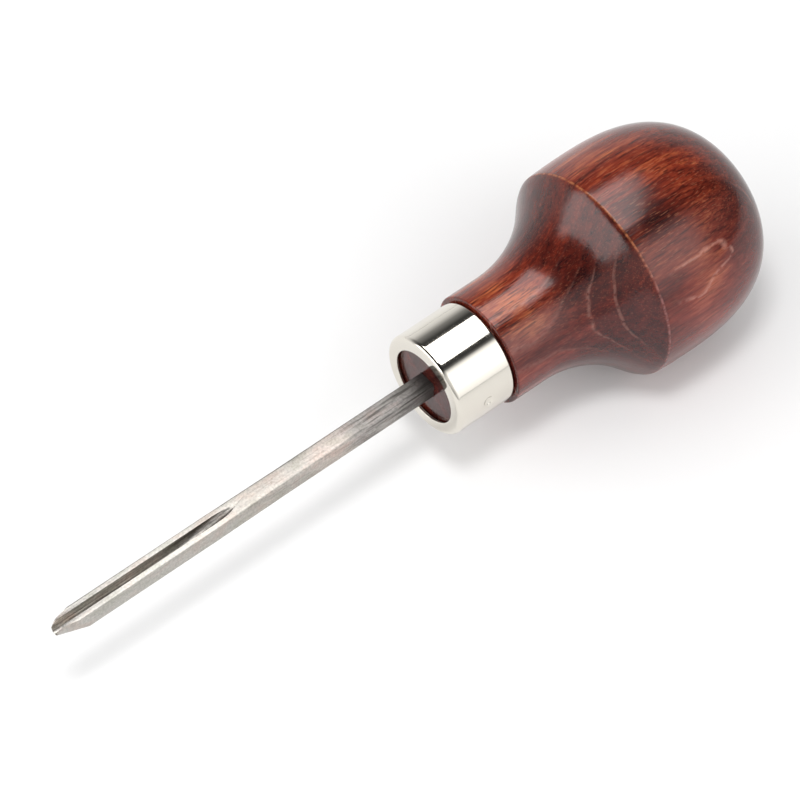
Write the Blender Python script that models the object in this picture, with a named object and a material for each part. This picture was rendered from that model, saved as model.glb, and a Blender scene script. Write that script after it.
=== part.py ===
"""A palm-handled veiner gouge: turned wooden handle, drawn metal ferrule, fluted steel blade.

Sizes are in metres. The tool lies level, its axis along X from the cutting edge at -X to the dome of
the handle at +X, with the flute open towards +Z. The origin is under the middle of the tool's length,
on the surface that the bulb of the handle lies on.
"""

import math

import bmesh
import bpy
from mathutils import Matrix, Vector

# Blade
BLADE_REACH = 0.0739  # from the cutting edge to the front face of the ferrule
BAR_SIDE = 0.0033  # square bar stock
TANG_LENGTH = 0.040  # the part of the bar inside the handle
TANG_TIP_SIDE = 0.0016  # the tang tapers to this square
FLUTE_WIDTH = 0.0016
FLUTE_DEPTH = 0.0021
FLUTE_LENGTH = 0.0352  # from the cutting edge to the point where the flute runs out
RUNOUT_RADIUS = 0.150  # radius of the wheel that ground the flute
EDGE_WALL = 0.00004  # steel left outside the flute at the cutting edge
BEVEL_SIDE_ANGLE = math.radians(12.1)  # how the bevel leans away from the flute's side walls
BEVEL_UNDER_ANGLE = math.radians(19.4)  # and from its floor
WING_SWEEP = 0.0012  # how far the edge's two upper corners are swept back on a curve

# Ferrule
FERRULE_LENGTH = 0.0112
FERRULE_RADIUS = 0.0091
FERRULE_WALL = 0.0005
FERRULE_LIP = 0.0024  # radial width of the ring that closes the front over the wood
FERRULE_FRONT_ROUND = 0.0008
FERRULE_BACK_ROUND = 0.0002
DIMPLE_FROM_FRONT = 0.0059
DIMPLE_ANGLE = math.radians(94)  # from straight up, towards -Y
DIMPLE_RADIUS = 0.0011
DIMPLE_DEPTH = 0.0004

# Handle
NECK_RADIUS = 0.00985
NECK_LENGTH = 0.00625  # straight part behind the ferrule
NECK_EDGE_ROUND = 0.0003
COVE_RADIUS = 0.0205  # hollow curve from the neck to the flare
FLARE_ANGLE = math.radians(45.5)  # steepest slope of the flare
FLARE_LENGTH = 0.0026  # straight part of the flare
SHOULDER_RADIUS = 0.0062  # round curve from the flare to the ridge
RIDGE_ANGLE = math.radians(32)  # slope that is left where the shoulder meets the ridge
BULB_RADIUS = 0.0190
RIDGE_TO_WIDEST = 0.0066
DOME_LENGTH = 0.0220  # from the widest place to the end
DOME_POWER = 2.6  # the dome is a superellipse: a little squarer than a ball
DOME_ROOT = 2.8
TENON_CHAMFER = 0.0004

# Clearances between the pieces
TENON_CLEARANCE = 0.00025
TANG_CLEARANCE = 0.0002
SHOULDER_GAP = 0.0003
OVERCUT = 0.0005  # how far a cutter reaches past the surface it opens

# Fineness of the turned shapes
SEGMENTS = 48
ARC_STEPS = 8
DOME_STEPS = 14
EDGE_STEPS = 4


def arc(centre, radius, first, last, steps):
    """Points (along, out) on an arc, with angles measured from the tool's axis direction."""
    angles = [first + (last - first) * i / steps for i in range(steps + 1)]
    return [(centre[0] + radius * math.cos(a), centre[1] + radius * math.sin(a)) for a in angles]


def flare_profile(start):
    """The neck, cove, flare and shoulder, from the back of the ferrule to the ridge."""
    cove_start = start + NECK_EDGE_ROUND + NECK_LENGTH
    edge = arc(
        (start + NECK_EDGE_ROUND, NECK_RADIUS - NECK_EDGE_ROUND),
        NECK_EDGE_ROUND,
        math.pi,
        math.pi / 2,
        EDGE_STEPS,
    )
    cove = arc(
        (cove_start, NECK_RADIUS + COVE_RADIUS),
        COVE_RADIUS,
        -math.pi / 2,
        -math.pi / 2 + FLARE_ANGLE,
        ARC_STEPS,
    )
    along = cove[-1][0] + FLARE_LENGTH * math.cos(FLARE_ANGLE)
    out = cove[-1][1] + FLARE_LENGTH * math.sin(FLARE_ANGLE)
    shoulder = arc(
        (along + SHOULDER_RADIUS * math.sin(FLARE_ANGLE), out - SHOULDER_RADIUS * math.cos(FLARE_ANGLE)),
        SHOULDER_RADIUS,
        math.pi / 2 + FLARE_ANGLE,
        math.pi / 2 + RIDGE_ANGLE,
        ARC_STEPS,
    )
    return edge + cove + shoulder


def dome_profile(ridge):
    """The bulb behind the ridge: a slight swell to the widest place, then the dome to its pole."""
    points = []
    for i in range(1, ARC_STEPS):
        t = i / ARC_STEPS
        out = BULB_RADIUS - (BULB_RADIUS - ridge[1]) * (1 - t) ** 2
        points.append((ridge[0] + RIDGE_TO_WIDEST * t, out))
    for i in range(DOME_STEPS + 1):
        t = 1 - (1 - i / DOME_STEPS) ** 2
        out = BULB_RADIUS * (1 - t**DOME_POWER) ** (1 / DOME_ROOT)
        points.append((ridge[0] + RIDGE_TO_WIDEST + DOME_LENGTH * t, out))
    return points


# Places along the tool, measured from the front face of the ferrule
CUTTING_EDGE = -BLADE_REACH
TENON_FACE = FERRULE_WALL + TENON_CLEARANCE
NECK_START = FERRULE_LENGTH + SHOULDER_GAP
FLARE = flare_profile(NECK_START)
RIDGE = FLARE[-1]
HANDLE_END = RIDGE[0] + RIDGE_TO_WIDEST + DOME_LENGTH
TANG_END = TENON_FACE + TANG_LENGTH

# Sizes that follow from the driving ones
TENON_RADIUS = FERRULE_RADIUS - FERRULE_WALL - TENON_CLEARANCE
MOUTH_RADIUS = FERRULE_RADIUS - FERRULE_LIP
FLUTE_FLOOR = BAR_SIDE / 2 - FLUTE_DEPTH
PUNCH_RADIUS = (DIMPLE_RADIUS**2 + DIMPLE_DEPTH**2) / (2 * DIMPLE_DEPTH)
HALF_STEP = math.pi / SEGMENTS
AXIS_HEIGHT = max(BULB_RADIUS, RIDGE[1]) * math.cos(HALF_STEP)  # the bulb lies on a flat of its facets
FERRULE_FRONT = (CUTTING_EDGE + HANDLE_END) / -2  # puts the middle of the length over the origin


def finish(name, color, metallic, roughness):
    """A plain material of one colour for one piece."""
    material = bpy.data.materials.new(name)
    material.use_nodes = True
    shader = material.node_tree.nodes["Principled BSDF"]
    shader.inputs["Base Color"].default_value = (*color, 1)
    shader.inputs["Metallic"].default_value = metallic
    shader.inputs["Roughness"].default_value = roughness
    return material


def place(bm, name, tool):
    """Makes an object of the mesh, carried by the tool's empty."""
    bmesh.ops.remove_doubles(bm, verts=bm.verts, dist=1e-7)
    bmesh.ops.recalc_face_normals(bm, faces=bm.faces)
    mesh = bpy.data.meshes.new(name)
    bm.to_mesh(mesh)
    bm.free()
    obj = bpy.data.objects.new(name, mesh)
    bpy.context.collection.objects.link(obj)
    obj.parent = tool
    return obj


def dress(obj, material):
    """Gives a finished piece its material and smooth shading with crisp edges."""
    obj.data.materials.append(material)
    obj.data.shade_smooth()
    obj.data.set_sharp_from_angle(angle=math.radians(18))


def cut(obj, cutter, operation="DIFFERENCE"):
    """Adds a Boolean, and keeps the cutter out of sight."""
    cutter.hide_render = True
    cutter.display_type = "WIRE"
    modifier = obj.modifiers.new(cutter.name, "BOOLEAN")
    modifier.operation = operation
    modifier.object = cutter


def turned(profile, closed):
    """Turns a profile of (along, out) points about the X axis, as on a lathe."""
    bm = bmesh.new()
    verts = [bm.verts.new((along, 0, out)) for along, out in profile]
    pairs = list(zip(verts, verts[1:]))
    if closed:
        pairs.append((verts[-1], verts[0]))
    edges = [bm.edges.new(pair) for pair in pairs]
    bmesh.ops.rotate(bm, verts=verts, cent=(0, 0, 0), matrix=Matrix.Rotation(HALF_STEP, 3, "X"))
    bmesh.ops.spin(
        bm,
        geom=verts + edges,
        cent=(0, 0, 0),
        axis=(1, 0, 0),
        angle=2 * math.pi,
        steps=SEGMENTS,
        use_merge=True,
    )
    return bm


def drop_inner_face(bm, face):
    """Removes a face that closed a rod before the rod grew past it."""
    if any(len(edge.link_faces) > 2 for edge in face.edges):
        bmesh.ops.delete(bm, geom=[face], context="FACES_ONLY")


def extend(bm, face, along):
    """Lengthens a rod from its end face to a place along the tool, and returns the new end face."""
    grown = bmesh.ops.extrude_face_region(bm, geom=[face])["geom"]
    end = next(item for item in grown if isinstance(item, bmesh.types.BMFace))
    drop_inner_face(bm, face)
    for vert in end.verts:
        vert.co.x = along
    return end


def square_rod(stations):
    """A rod of square section, with a side for each place along it."""
    bm = bmesh.new()
    along, side = stations[0]
    half = side / 2
    corners = [(-half, -half), (half, -half), (half, half), (-half, half)]
    face = bm.faces.new([bm.verts.new((along, y, z)) for y, z in corners])
    for (_, last_side), (along, side) in zip(stations, stations[1:]):
        face = extend(bm, face, along)
        growth = side / last_side
        bmesh.ops.scale(bm, verts=list(face.verts), vec=(1, growth, growth))
    return bm


def trough(along, half_width, floor, top):
    """A U-shaped face across the tool: round floor, straight walls, open towards +Z."""
    bm = bmesh.new()
    centre = floor + half_width
    steps = 2 * ARC_STEPS
    angles = [math.pi + math.pi * i / steps for i in range(steps + 1)]
    outline = [(half_width * math.cos(a), centre + half_width * math.sin(a)) for a in angles]
    outline = [(-half_width, top)] + outline + [(half_width, top)]
    face = bm.faces.new([bm.verts.new((along, y, z)) for y, z in outline])
    return bm, face


def flute_cutter():
    """The path of the grinding wheel's round rim: straight in from the edge, then up and out."""
    climb = math.acos(1 - FLUTE_DEPTH / RUNOUT_RADIUS)
    runout_start = CUTTING_EDGE + FLUTE_LENGTH - RUNOUT_RADIUS * math.sin(climb)
    start = min(CUTTING_EDGE, runout_start) - OVERCUT
    bm, face = trough(start, FLUTE_WIDTH / 2, FLUTE_FLOOR, BAR_SIDE / 2 + OVERCUT)
    end = extend(bm, face, runout_start)
    leave = math.acos(1 - (FLUTE_DEPTH + OVERCUT) / RUNOUT_RADIUS)
    bmesh.ops.spin(
        bm,
        geom=[end],
        cent=(runout_start, 0, FLUTE_FLOOR + RUNOUT_RADIUS),
        axis=(0, -1, 0),
        angle=leave,
        steps=ARC_STEPS,
    )
    drop_inner_face(bm, end)
    return bm


def bevel_envelope():
    """What the bevel leaves: a U that widens from the cutting edge until it clears the bar."""
    half_width = FLUTE_WIDTH / 2 + EDGE_WALL
    floor = FLUTE_FLOOR - EDGE_WALL
    bm, face = trough(CUTTING_EDGE, half_width, floor, BAR_SIDE / 2 + OVERCUT)
    length = (BAR_SIDE - half_width) / math.tan(BEVEL_SIDE_ANGLE)
    drop = length * math.tan(BEVEL_UNDER_ANGLE)
    growth = BAR_SIDE / half_width
    wide = extend(bm, face, CUTTING_EDGE + length)
    centre = Vector((0, 0, floor + half_width))
    ring = list(wide.verts)
    bmesh.ops.scale(bm, verts=ring, vec=(1, growth, growth), space=Matrix.Translation(-centre))
    bmesh.ops.translate(bm, verts=ring, vec=(0, 0, BAR_SIDE - half_width - drop))
    extend(bm, wide, TANG_END + OVERCUT)
    return bm


def wing_envelope():
    """The tip seen from the side: upright at the floor of the flute, swept back towards the top of the bar."""
    top = BAR_SIDE / 2
    radius = (WING_SWEEP**2 + top**2) / (2 * WING_SWEEP)
    front = CUTTING_EDGE - EDGE_WALL
    sweep = arc((front + radius, 0), radius, math.pi, math.pi - math.asin(top / radius), ARC_STEPS)
    outline = [(TANG_END + OVERCUT, -BAR_SIDE), (front - OVERCUT, -BAR_SIDE), (front - OVERCUT, 0)]
    outline += sweep
    outline += [(sweep[-1][0] + OVERCUT, top + OVERCUT), (TANG_END + OVERCUT, top + OVERCUT)]
    bm = bmesh.new()
    face = bm.faces.new([bm.verts.new((along, -BAR_SIDE, up)) for along, up in outline])
    grown = bmesh.ops.extrude_face_region(bm, geom=[face])["geom"]
    far = [item for item in grown if isinstance(item, bmesh.types.BMVert)]
    bmesh.ops.translate(bm, verts=far, vec=(0, 2 * BAR_SIDE, 0))
    return bm


def make_blade(tool):
    """One bar of tool steel: fluted and bevelled in front, a tapered tang behind."""
    rod = square_rod(
        [(CUTTING_EDGE - OVERCUT, BAR_SIDE), (TENON_FACE, BAR_SIDE), (TANG_END, TANG_TIP_SIDE)]
    )
    blade = place(rod, "blade", tool)
    cut(blade, place(bevel_envelope(), "bevel_envelope", tool), "INTERSECT")
    cut(blade, place(wing_envelope(), "wing_envelope", tool), "INTERSECT")
    cut(blade, place(flute_cutter(), "flute_cutter", tool))
    dress(blade, finish("ground_tool_steel", (0.45, 0.44, 0.42), 1.0, 0.35))


def punch_ball(name, radius, tool):
    """A ball where the punch struck the ferrule, with its lowest point at the dimple's floor."""
    reach = FERRULE_RADIUS - DIMPLE_DEPTH + PUNCH_RADIUS
    centre = (DIMPLE_FROM_FRONT, -reach * math.sin(DIMPLE_ANGLE), reach * math.cos(DIMPLE_ANGLE))
    bm = bmesh.new()
    bmesh.ops.create_icosphere(bm, subdivisions=3, radius=radius, matrix=Matrix.Translation(centre))
    return place(bm, name, tool)


def make_ferrule(tool):
    """A drawn cup with an open mouth, staked to the wood by one punched dimple."""
    inner = FERRULE_RADIUS - FERRULE_WALL
    front = arc(
        (FERRULE_FRONT_ROUND, FERRULE_RADIUS - FERRULE_FRONT_ROUND),
        FERRULE_FRONT_ROUND,
        math.pi,
        math.pi / 2,
        EDGE_STEPS,
    )
    back = arc(
        (FERRULE_LENGTH - FERRULE_BACK_ROUND, FERRULE_RADIUS - FERRULE_BACK_ROUND),
        FERRULE_BACK_ROUND,
        math.pi / 2,
        0,
        EDGE_STEPS,
    )
    inside = [(FERRULE_LENGTH, inner), (FERRULE_WALL, inner), (FERRULE_WALL, MOUTH_RADIUS)]
    ferrule = place(turned([(0, MOUTH_RADIUS)] + front + back + inside, closed=True), "ferrule", tool)
    within = FERRULE_RADIUS - FERRULE_WALL / 4
    blank = turned([(0, 0), (0, within), (FERRULE_LENGTH, within), (FERRULE_LENGTH, 0)], closed=False)
    bulge = punch_ball("dimple_bulge", PUNCH_RADIUS + FERRULE_WALL, tool)
    cut(bulge, place(blank, "bulge_limit", tool), "INTERSECT")
    cut(ferrule, bulge, "UNION")
    cut(ferrule, punch_ball("dimple_punch", PUNCH_RADIUS, tool))
    dress(ferrule, finish("nickel_plate", (0.80, 0.77, 0.73), 1.0, 0.08))


def make_handle(tool):
    """One turned piece of wood: tenon, neck, flare, ridge and dome, with a hole for the tang."""
    tenon = [
        (TENON_FACE, 0),
        (TENON_FACE, TENON_RADIUS - TENON_CHAMFER),
        (TENON_FACE + TENON_CHAMFER, TENON_RADIUS),
        (NECK_START, TENON_RADIUS),
    ]
    handle = place(turned(tenon + FLARE + dome_profile(RIDGE), closed=False), "handle", tool)
    hole_side = BAR_SIDE + 2 * TANG_CLEARANCE
    hole_end = (TANG_END + TANG_CLEARANCE, TANG_TIP_SIDE + 2 * TANG_CLEARANCE)
    hole = square_rod([(TENON_FACE - OVERCUT, hole_side), (TENON_FACE, hole_side), hole_end])
    cut(handle, place(hole, "tang_hole", tool))
    cut(handle, punch_ball("dimple_pocket", PUNCH_RADIUS + FERRULE_WALL + TENON_CLEARANCE, tool))
    dress(handle, finish("stained_lacquered_wood", (0.16, 0.035, 0.018), 0.0, 0.22))


def main():
    for obj in list(bpy.data.objects):
        bpy.data.objects.remove(obj, do_unlink=True)
    tool = bpy.data.objects.new("veiner_gouge", None)
    bpy.context.collection.objects.link(tool)
    tool.location = (FERRULE_FRONT, 0, AXIS_HEIGHT)
    make_blade(tool)
    make_ferrule(tool)
    make_handle(tool)


main()
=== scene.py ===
# %% [markdown]
# # A palm-handled veiner gouge
# This lesson dresses a small carving tool: a square steel blade with a narrow U-shaped flute, a bright
# plated ferrule, and a turned wooden handle under a gloss lacquer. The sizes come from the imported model,
# which is loaded first and never changed. Each piece is then modelled again with a finer surface.

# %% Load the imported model
import math

import bmesh
import bpy
from mathutils import Matrix, Vector


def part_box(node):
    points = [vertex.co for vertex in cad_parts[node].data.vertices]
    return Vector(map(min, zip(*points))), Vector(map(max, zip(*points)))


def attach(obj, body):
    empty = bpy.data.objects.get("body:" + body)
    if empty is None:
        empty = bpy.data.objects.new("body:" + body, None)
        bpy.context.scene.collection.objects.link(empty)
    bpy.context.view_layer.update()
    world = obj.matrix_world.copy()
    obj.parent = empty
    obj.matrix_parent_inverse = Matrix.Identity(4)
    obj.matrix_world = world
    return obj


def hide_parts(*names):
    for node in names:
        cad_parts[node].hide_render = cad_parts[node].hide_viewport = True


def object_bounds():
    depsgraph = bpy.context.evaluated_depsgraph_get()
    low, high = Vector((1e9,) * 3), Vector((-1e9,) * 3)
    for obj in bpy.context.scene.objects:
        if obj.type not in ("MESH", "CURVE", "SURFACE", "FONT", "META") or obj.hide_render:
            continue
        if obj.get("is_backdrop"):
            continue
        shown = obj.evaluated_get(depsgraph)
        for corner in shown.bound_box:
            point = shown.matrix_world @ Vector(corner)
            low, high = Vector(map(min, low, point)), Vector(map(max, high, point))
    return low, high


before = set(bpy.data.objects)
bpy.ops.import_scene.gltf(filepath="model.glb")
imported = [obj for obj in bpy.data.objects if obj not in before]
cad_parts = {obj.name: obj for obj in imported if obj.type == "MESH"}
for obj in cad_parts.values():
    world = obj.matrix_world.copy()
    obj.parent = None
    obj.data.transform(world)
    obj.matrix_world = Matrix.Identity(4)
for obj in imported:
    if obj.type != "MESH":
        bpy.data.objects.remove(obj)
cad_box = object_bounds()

print("nodes:", sorted(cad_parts))

# %% [markdown]
# ## Places
# A few places tie everything together: the front face of the ferrule, the height of the tool's axis, and
# where each piece ends. They could be typed in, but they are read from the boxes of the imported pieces, so
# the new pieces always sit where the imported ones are. Every piece below is modelled with the axis along X
# and the ferrule's front at zero.

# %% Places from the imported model
MM = 1000  # millimetres in a metre
blade_low, blade_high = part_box("blade")
ferrule_low, ferrule_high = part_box("ferrule")
handle_low, handle_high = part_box("handle")
FERRULE_FRONT = ferrule_low.x
AXIS_Z = (ferrule_low.z + ferrule_high.z) / 2
AXIS_START = Vector((FERRULE_FRONT, 0, AXIS_Z))
CUTTING_EDGE = blade_low.x - FERRULE_FRONT
TANG_END = blade_high.x - FERRULE_FRONT
TENON_FACE = handle_low.x - FERRULE_FRONT
HANDLE_END = handle_high.x - FERRULE_FRONT
FERRULE_LENGTH = ferrule_high.x - ferrule_low.x
BAR_SIDE = blade_high.y - blade_low.y
print(f"axis {AXIS_Z * MM:.2f} mm up, cutting edge at {CUTTING_EDGE * MM:.1f} mm")
print(f"handle ends at {HANDLE_END * MM:.1f} mm")

# %% [markdown]
# ## Camera
# The picture was taken from the cutting end, well above the table, with a long lens: the two rims of the
# ferrule have nearly the same shape, so the depth is flattened. A lens shift could place the tool in the
# frame, but here the camera simply aims at a point just beside the front of the ferrule, which is easier
# to follow.

# %% Camera
CAMERA_AZIMUTH = math.radians(-39.8)
CAMERA_ELEVATION = math.radians(52.9)
CAMERA_DISTANCE = 0.873
LENS_MM = 247.5
AIM_RIGHT = -0.00373
AIM_UP = -0.00205

flat = math.cos(CAMERA_ELEVATION)
camera_back = Vector(
    (math.sin(CAMERA_AZIMUTH) * flat, -math.cos(CAMERA_AZIMUTH) * flat, math.sin(CAMERA_ELEVATION))
)
camera_right = Vector((math.cos(CAMERA_AZIMUTH), math.sin(CAMERA_AZIMUTH), 0))
camera_up = camera_back.cross(camera_right)
aim = AXIS_START + camera_right * AIM_RIGHT + camera_up * AIM_UP
camera = bpy.data.objects.new("camera", bpy.data.cameras.new("camera"))
camera.data.lens = LENS_MM
camera.location = aim + camera_back * CAMERA_DISTANCE
camera.rotation_euler = (-camera_back).to_track_quat("-Z", "Y").to_euler()
bpy.context.collection.objects.link(camera)
bpy.context.scene.camera = camera
bpy.context.scene.view_settings.view_transform = "Standard"
print("camera at", [round(v, 3) for v in camera.location])


# %% [markdown]
# ## Helpers for materials
# Colours are written as sRGB hex values, the way a paint program shows them, and one function turns them
# into the linear values that a shader needs. One more adds a node, sets it up and links it, so that each
# material below reads as a list of what happens to a number or a colour.

# %% Helpers for materials
def linear(hex_color):
    """An sRGB hex colour as a linear RGBA tuple."""
    values = [int(hex_color[i : i + 2], 16) / 255 for i in (1, 3, 5)]
    return (*[v / 12.92 if v <= 0.04045 else ((v + 0.055) / 1.055) ** 2.4 for v in values], 1)


def add(tree, kind, inputs, stops=(), **settings):
    """Adds a shader node. An input is a number, a colour, a vector or another node's output.

    A colour ramp also takes its stops, as (place, colour) pairs.
    """
    node = tree.nodes.new("ShaderNode" + kind)
    for name, value in settings.items():
        setattr(node, name, value)
    for name, value in inputs.items():
        if isinstance(value, bpy.types.NodeSocket):
            tree.links.new(value, node.inputs[name])
        else:
            node.inputs[name].default_value = value
    for i, (place, color) in enumerate(stops):
        elements = node.color_ramp.elements
        element = elements[i] if i < len(elements) else elements.new(place)
        element.position = place
        element.color = color
    return node


def new_material(name):
    """An empty material with its node tree and its Principled shader."""
    material = bpy.data.materials.new(name)
    material.use_nodes = True
    return material, material.node_tree, material.node_tree.nodes["Principled BSDF"]


print("mid grey #808080 is", round(linear("#808080")[0], 3), "in linear light")

# %% [markdown]
# ## Floor
# The tool lies on plain white paper. One large flat grid is enough for it, because the paper's own grain
# is too fine to see from here. It is nearly white and quite rough, so it takes the tool's soft shadow and
# shows no reflection.

# %% Floor
FLOOR_SIZE = 3.0
PAPER_ROUGHNESS = 0.9
PAPER_SHINE = 0.1
bm = bmesh.new()
bmesh.ops.create_grid(bm, x_segments=1, y_segments=1, size=FLOOR_SIZE / 2)
floor_mesh = bpy.data.meshes.new("floor")
bm.to_mesh(floor_mesh)
bm.free()
floor = bpy.data.objects.new("floor", floor_mesh)
bpy.context.collection.objects.link(floor)
paper, tree, shader = new_material("white_paper")
shader.inputs["Base Color"].default_value = linear("#F1F1F1")
shader.inputs["Roughness"].default_value = PAPER_ROUGHNESS
shader.inputs["Specular IOR Level"].default_value = PAPER_SHINE
floor_mesh.materials.append(paper)
floor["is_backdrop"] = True
print("paper", FLOOR_SIZE, "m across")

# %% [markdown]
# ## Softboxes
# A studio lamp does two things at once: it lights the tool, and it shows as a bright shape in whatever is
# glossy. Here the two are set apart, because that makes both easy to match. A small key and a wide fill
# only light, and together they give the soft shadow. An overhead box, turned a little, only shines: it is
# the bright band along the ferrule and the patch on the bulb. A low box by the cutting edge does both.

# %% Softboxes
TOOL_MIDDLE = Vector((0, 0, 0.02))
OVERHEAD_TURN = math.radians(-13)
# Each box: where it stands, its size in metres, its power in watts, and whether it lights, shines or both.
SOFTBOXES = {
    "overhead": {"place": (0.167, 0.189, 0.62), "size": (0.365, 0.60), "watts": 2.8, "does": ("shine",)},
    "low": {"place": (-0.84, 0.31, 0.48), "size": (1.15, 0.50), "watts": 5.3, "does": ("light", "shine")},
    "key": {"place": (-0.19, -0.15, 0.97), "size": (0.23, 0.23), "watts": 3.3, "does": ("light",)},
    "fill": {"place": (0.0, 0.0, 1.2), "size": (2.4, 2.4), "watts": 13.2, "does": ("light",)},
}
for name, box in SOFTBOXES.items():
    light = bpy.data.lights.new(name, "AREA")
    light.shape = "RECTANGLE"
    light.size, light.size_y = box["size"]
    light.energy = box["watts"]
    lamp = bpy.data.objects.new(name, light)
    lamp.location = box["place"]
    lamp.rotation_euler = (TOOL_MIDDLE - lamp.location).to_track_quat("-Z", "Y").to_euler()
    if name == "overhead":
        lamp.rotation_euler = (0, 0, OVERHEAD_TURN)
    lamp.visible_diffuse = "light" in box["does"]
    lamp.visible_glossy = "shine" in box["does"]
    bpy.context.collection.objects.link(lamp)
    print(name, "softbox", box["size"], "m,", box["watts"], "W")

# %% [markdown]
# ## Studio walls
# Bright metal and lacquer show the whole room, so the room is drawn too, as a colour of the world that
# goes by direction. The horizon is bright where the paper curves up round the table, and it falls off into
# the dark above. A white wall stands on the camera's side, bright in its middle. The dark between them
# shows as bands along the ferrule and keeps the lacquer deep. Real walls would do the same, but three
# short tables are easier to change.

# %% Studio walls
# Brightness by degrees above the horizon, and by degrees of lean towards the camera's side.
HORIZON = [(0, 1.0), (11, 0.78), (24, 0.26), (38, 0.05)]
NEAR_WALL = [(20, 0.0), (26, 0.16), (32, 1.2), (42, 2.1), (64, 2.1), (78, 1.5), (90, 1.25)]
# The near wall's share by how far a direction points along the tool, and where the far side takes over.
ACROSS = [(-0.6, 0.35), (-0.25, 0.45), (0.15, 0.80), (0.34, 1.0), (0.46, 1.0), (0.60, 0.20), (0.85, 0.10)]
FAR_SIDE_FROM = -0.15
FAR_SIDE_TO = 0.1


def ramp_stops(table, first, last):
    """Colour ramp stops from (place, value) pairs, with the places shared out between first and last.

    A value is a hex colour, three linear numbers, or one number for a grey.
    """
    stops = []
    for place, value in table:
        if isinstance(value, str):
            color = linear(value)
        elif isinstance(value, tuple):
            color = (*value, 1)
        else:
            color = (value, value, value, 1)
        stops.append(((place - first) / (last - first), color))
    return stops


world = bpy.data.worlds.new("studio")
world.use_nodes = True
bpy.context.scene.world = world
tree = world.node_tree
direction = add(tree, "TexCoord", {}).outputs["Generated"]
toward = add(tree, "SeparateXYZ", {"Vector": direction}).outputs
height = add(tree, "Math", {0: toward["Z"]}, operation="ARCSINE").outputs[0]
height = add(tree, "Math", {0: height, 1: math.pi / 2}, operation="DIVIDE").outputs[0]
horizon = add(tree, "ValToRGB", {"Fac": height}, stops=ramp_stops(HORIZON, 0, 90)).outputs[0]
near = add(tree, "Math", {0: toward["Y"], 1: -1.0}, operation="MULTIPLY").outputs[0]
lean = add(tree, "Math", {0: near, 1: toward["Z"]}, operation="ARCTAN2").outputs[0]
lean = add(tree, "Math", {0: lean, 1: math.pi}, operation="DIVIDE").outputs[0]
wall = add(tree, "ValToRGB", {"Fac": lean}, stops=ramp_stops(NEAR_WALL, 0, 180)).outputs[0]
brighter = {0: 1.0, 6: horizon, 7: wall}
studio = add(tree, "Mix", brighter, data_type="RGBA", blend_type="LIGHTEN").outputs[2]
across = add(tree, "MapRange", {"Value": toward["X"], "From Min": -1.0}).outputs[0]
across = add(tree, "ValToRGB", {"Fac": across}, stops=ramp_stops(ACROSS, -1, 1)).outputs[0]
far_range = {"Value": toward["Y"], "From Min": FAR_SIDE_FROM, "From Max": FAR_SIDE_TO}
far_side = add(tree, "MapRange", far_range).outputs[0]
across = add(tree, "Math", {0: across, 1: far_side}, operation="MAXIMUM").outputs[0]
dimmed = {0: 1.0, 6: studio, 7: across}
studio = add(tree, "Mix", dimmed, data_type="RGBA", blend_type="MULTIPLY").outputs[2]
tree.links.new(studio, tree.nodes["Background"].inputs["Color"])
print("horizon", HORIZON[0], "to", HORIZON[-1], "and near wall up to", max(value for _, value in NEAR_WALL))

# %% [markdown]
# ## Handle
# The handle is one piece of hardwood turned on a lathe. A tenon goes into the ferrule, a short neck
# follows, and a hollow cove flares out to a crisp ridge. Behind the ridge the bulb swells a little and
# closes in a dome that fits the palm. It could be sculpted, but a turned piece is one profile spun round
# an axis, so the profile is drawn first, as points (along, out) on straight lines and arcs.

# %% Tenon and neck
TENON_RADIUS = 0.00835
TENON_CHAMFER = 0.0004
SHOULDER_GAP = 0.0003
NECK_START = FERRULE_LENGTH + SHOULDER_GAP
NECK_RADIUS = 0.00985
NECK_LENGTH = 0.00625
EDGE_ROUND = 0.0003
EDGE_STEPS = 6
NECK_STEPS = 8
QUARTER = math.pi / 2


def arc(centre, radius, first, last, steps):
    """Points on an arc, as (along, out) from the tool's axis."""
    angles = [first + (last - first) * i / steps for i in range(steps + 1)]
    return [(centre[0] + radius * math.cos(a), centre[1] + radius * math.sin(a)) for a in angles]


tenon = [
    (TENON_FACE, 0),
    (TENON_FACE, TENON_RADIUS - TENON_CHAMFER),
    (TENON_FACE + TENON_CHAMFER, TENON_RADIUS),
    (NECK_START, TENON_RADIUS),
]
neck_flat = NECK_START + EDGE_ROUND
neck = arc((neck_flat, NECK_RADIUS - EDGE_ROUND), EDGE_ROUND, math.pi, QUARTER, EDGE_STEPS)
neck += [(neck_flat + NECK_LENGTH * i / NECK_STEPS, NECK_RADIUS) for i in range(1, NECK_STEPS)]
print(f"neck from {NECK_START * MM:.1f} mm, radius {NECK_RADIUS * MM:.2f} mm")

# %% Cove, flare and shoulder
COVE_RADIUS = 0.0205
COVE_STEPS = 24
FLARE_ANGLE = math.radians(45.5)
FLARE_LENGTH = 0.0026
SHOULDER_RADIUS = 0.0062
SHOULDER_STEPS = 20
RIDGE_ANGLE = math.radians(32)
cove_centre = (neck_flat + NECK_LENGTH, NECK_RADIUS + COVE_RADIUS)
cove = arc(cove_centre, COVE_RADIUS, -QUARTER, FLARE_ANGLE - QUARTER, COVE_STEPS)
flare_x = cove[-1][0] + FLARE_LENGTH * math.cos(FLARE_ANGLE)
flare_r = cove[-1][1] + FLARE_LENGTH * math.sin(FLARE_ANGLE)
shoulder_centre = (
    flare_x + SHOULDER_RADIUS * math.sin(FLARE_ANGLE),
    flare_r - SHOULDER_RADIUS * math.cos(FLARE_ANGLE),
)
shoulder = arc(
    shoulder_centre, SHOULDER_RADIUS, QUARTER + FLARE_ANGLE, QUARTER + RIDGE_ANGLE, SHOULDER_STEPS
)
ridge_x, ridge_r = shoulder[-1]
print(f"ridge at {ridge_x * MM:.1f} mm, radius {ridge_r * MM:.2f} mm")

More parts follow.
